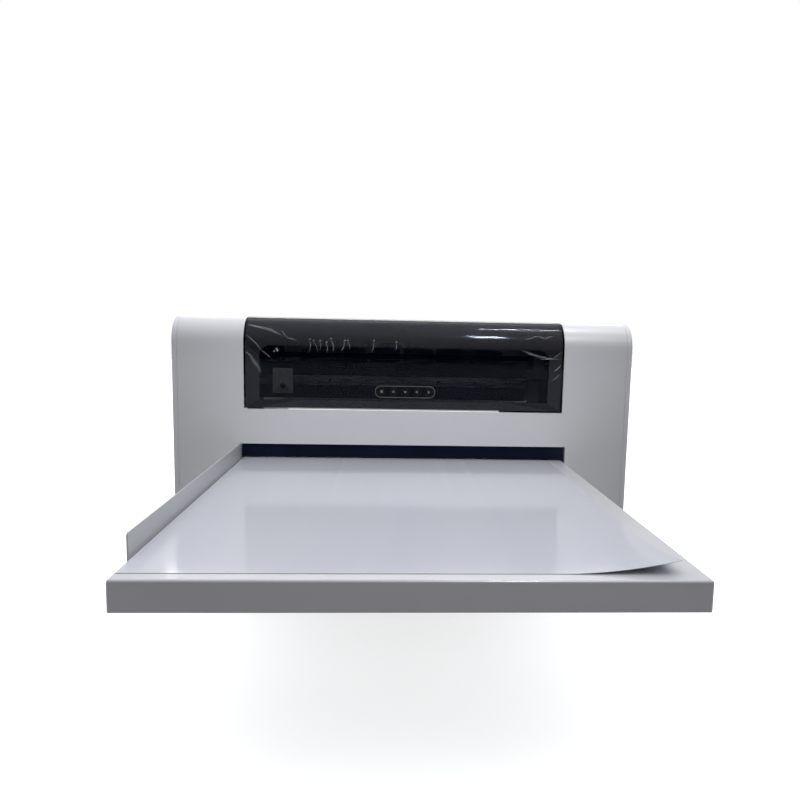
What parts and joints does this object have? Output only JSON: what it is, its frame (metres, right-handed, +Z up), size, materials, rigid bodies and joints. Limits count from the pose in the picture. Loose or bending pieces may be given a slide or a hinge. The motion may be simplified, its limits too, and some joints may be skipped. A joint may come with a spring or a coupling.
{
  "type": "flatbed uv printer",
  "caption": "Desktop flatbed UV printer with a white bent-sheet body, smoked lid, button strip and a sliding, lifting print bed.",
  "frame": {"origin": "on the floor, under the middle of the whole machine's box with the bed out", "axes": "+X to the right seen from the front, +Y to the rear, +Z up"},
  "size_m": [0.6436, 0.9472, 0.376],
  "materials": {
    "white_paint": "satin white powder coat",
    "steel_plate": "zinc-plated sheet",
    "rail_steel": "ground steel",
    "zinc_screw": "blackened screw",
    "aluminium": "satin anodised",
    "dark_shield": "matte dark navy",
    "smoked_acrylic": "smoked, glossy",
    "liner": "dark grey",
    "key_plastic": "dark, domed",
    "grey_plate": "light grey",
    "rubber": "black",
    "film": "glossy whitish sheet",
    "black_plastic": "black",
    "white_plastic": "white",
    "board_green": "circuit board"
  },
  "bodies": {
    "frame": {"base_plate": "steel_plate", "rubber_feet": "rubber", "side_panels": "white_paint", "front_hood": "white_paint", "rear_panel": "white_paint", "chassis_walls": "steel_plate", "slot_shield": "dark_shield", "left_fence": "white_paint", "cover_screws": "zinc_screw", "cover_pivots": "steel_plate", "gantry_beam": "aluminium", "guide_rail": "rail_steel", "belt_brackets": "steel_plate", "carriage_belt": "rubber", "carriage_motor": "black_plastic", "capping_base": "aluminium", "waste_tank": "white_plastic", "ink_tray": "white_plastic", "ink_bottles": "white_plastic", "mainboard": "board_green", "power_supply": "steel_plate", "fan_frame": "black_plastic", "rear_connectors": "black_plastic", "lift_belt": "rubber", "lift_motor": "black_plastic"},
    "lift_carriers": {"lift_frame": "aluminium", "bed_rails": "rail_steel", "bed_motor": "black_plastic", "bed_belt": "rubber"},
    "bed": {"bed_tray": "white_paint", "bed_subframe": "aluminium", "print_film": "film"},
    "carriage": {"carriage_plate": "aluminium", "carriage_shell": "black_plastic", "print_head": "black_plastic", "ink_dampers": "black_plastic", "uv_lamp": "aluminium"},
    "lid": {"lid_window": "smoked_acrylic", "lid_frame": "liner", "button_bezel": "key_plastic", "interlock_plate": "grey_plate"},
    "rear_lid": {"ink_cover": "white_paint"},
    "cap_unit": {"cap_sled": "black_plastic", "cap_seals": "rubber"},
    "fan": {"fan_rotor": "black_plastic"},
    "rocker": {"power_rocker": "black_plastic"},
    "lift_pulley": {"lift_motor_pulley": "aluminium"},
    "bed_drive": {"bed_drive_pulley": "aluminium"},
    "bed_idler": {"bed_idler_pulley": "aluminium"},
    "carriage_drive": {"carriage_drive_pulley": "aluminium"},
    "carriage_idler": {"carriage_idler_pulley": "aluminium"},
    "screw_front_left": {"lift_screw_front_left": "rail_steel"},
    "screw_front_right": {"lift_screw_front_right": "rail_steel"},
    "screw_rear_left": {"lift_screw_rear_left": "rail_steel"},
    "screw_rear_right": {"lift_screw_rear_right": "rail_steel"},
    "key_1": {"button_1": "key_plastic"},
    "key_2": {"button_2": "key_plastic"},
    "key_3": {"button_3": "key_plastic"},
    "key_4": {"button_4": "key_plastic"},
    "key_5": {"button_5": "key_plastic"}
  },
  "joints": [
    {"name": "bed_lift", "type": "slide", "parent": "frame", "child": "lift_carriers", "axis": [0, 0, 1], "range_m": [-0.05, 0]},
    {"name": "bed_slide", "type": "slide", "parent": "lift_carriers", "child": "bed", "axis": [0, 1, 0], "range_m": [0, 0.42]},
    {"name": "carriage_slide", "type": "slide", "parent": "frame", "child": "carriage", "axis": [1, 0, 0], "range_m": [-0.45, 0]},
    {"name": "cap_lift", "type": "slide", "parent": "frame", "child": "cap_unit", "axis": [0, 0, 1], "range_m": [-0.008, 0]},
    {"name": "lid_hinge", "type": "hinge", "parent": "frame", "child": "lid", "pos_m": [0, 0.1314, 0.366], "axis": [-1, 0, 0], "range_deg": [0, 75]},
    {"name": "ink_cover_hinge", "type": "hinge", "parent": "frame", "child": "rear_lid", "pos_m": [0, 0.3964, 0.366], "axis": [-1, 0, 0], "range_deg": [0, 75]},
    {"name": "fan_spin", "type": "hinge", "parent": "frame", "child": "fan", "pos_m": [-0.275, 0.4589, 0.3], "axis": [0, 1, 0], "continuous": true},
    {"name": "rocker_tilt", "type": "hinge", "parent": "frame", "child": "rocker", "pos_m": [0.275, 0.4679, 0.096], "axis": [1, 0, 0], "range_deg": [-16, 0]},
    {"name": "button_1_press", "type": "slide", "parent": "lid", "child": "key_1", "axis": [0, 1, 0], "range_m": [0, 0.001], "stiffness_N_per_m": 400, "springref_m": -0.0005},
    {"name": "button_2_press", "type": "slide", "parent": "lid", "child": "key_2", "axis": [0, 1, 0], "range_m": [0, 0.001], "stiffness_N_per_m": 400, "springref_m": -0.0005},
    {"name": "button_3_press", "type": "slide", "parent": "lid", "child": "key_3", "axis": [0, 1, 0], "range_m": [0, 0.001], "stiffness_N_per_m": 400, "springref_m": -0.0005},
    {"name": "button_4_press", "type": "slide", "parent": "lid", "child": "key_4", "axis": [0, 1, 0], "range_m": [0, 0.001], "stiffness_N_per_m": 400, "springref_m": -0.0005},
    {"name": "button_5_press", "type": "slide", "parent": "lid", "child": "key_5", "axis": [0, 1, 0], "range_m": [0, 0.001], "stiffness_N_per_m": 400, "springref_m": -0.0005},
    {"name": "screw_front_left_turn", "type": "hinge", "parent": "frame", "child": "screw_front_left", "pos_m": [-0.195, 0.0414, 0.06], "axis": [0, 0, 1], "range_deg": [-2300, 50]},
    {"name": "screw_front_right_turn", "type": "hinge", "parent": "frame", "child": "screw_front_right", "pos_m": [0.195, 0.0414, 0.06], "axis": [0, 0, 1], "range_deg": [-2300, 50]},
    {"name": "screw_rear_left_turn", "type": "hinge", "parent": "frame", "child": "screw_rear_left", "pos_m": [-0.195, 0.4464, 0.06], "axis": [0, 0, 1], "range_deg": [-2300, 50]},
    {"name": "screw_rear_right_turn", "type": "hinge", "parent": "frame", "child": "screw_rear_right", "pos_m": [0.195, 0.4464, 0.06], "axis": [0, 0, 1], "range_deg": [-2300, 50]},
    {"name": "lift_pulley_turn", "type": "hinge", "parent": "frame", "child": "lift_pulley", "pos_m": [0.195, 0.2439, 0.0248], "axis": [0, 0, 1], "range_deg": [-2300, 50]},
    {"name": "bed_drive_turn", "type": "hinge", "parent": "lift_carriers", "child": "bed_drive", "pos_m": [0, 0.4064, 0.123], "axis": [1, 0, 0], "range_deg": [-3300, 50]},
    {"name": "bed_idler_turn", "type": "hinge", "parent": "lift_carriers", "child": "bed_idler", "pos_m": [0, -0.2236, 0.123], "axis": [1, 0, 0], "range_deg": [-3300, 50]},
    {"name": "carriage_drive_turn", "type": "hinge", "parent": "frame", "child": "carriage_drive", "pos_m": [0.281, 0.2114, 0.316], "axis": [0, 0, 1], "range_deg": [-3300, 50]},
    {"name": "carriage_idler_turn", "type": "hinge", "parent": "frame", "child": "carriage_idler", "pos_m": [-0.281, 0.2114, 0.316], "axis": [0, 0, 1], "range_deg": [-3300, 50]}
  ],
  "couplings": [
    {"joint": "screw_front_left_turn", "follows": "bed_lift", "rad_per_m": 785.4},
    {"joint": "screw_front_right_turn", "follows": "bed_lift", "rad_per_m": 785.4},
    {"joint": "screw_rear_left_turn", "follows": "bed_lift", "rad_per_m": 785.4},
    {"joint": "screw_rear_right_turn", "follows": "bed_lift", "rad_per_m": 785.4},
    {"joint": "lift_pulley_turn", "follows": "bed_lift", "rad_per_m": 785.4},
    {"joint": "bed_drive_turn", "follows": "bed_slide", "rad_per_m": -135.13},
    {"joint": "bed_idler_turn", "follows": "bed_slide", "rad_per_m": -135.13},
    {"joint": "carriage_drive_turn", "follows": "carriage_slide", "rad_per_m": 125},
    {"joint": "carriage_idler_turn", "follows": "carriage_slide", "rad_per_m": 125}
  ]
}
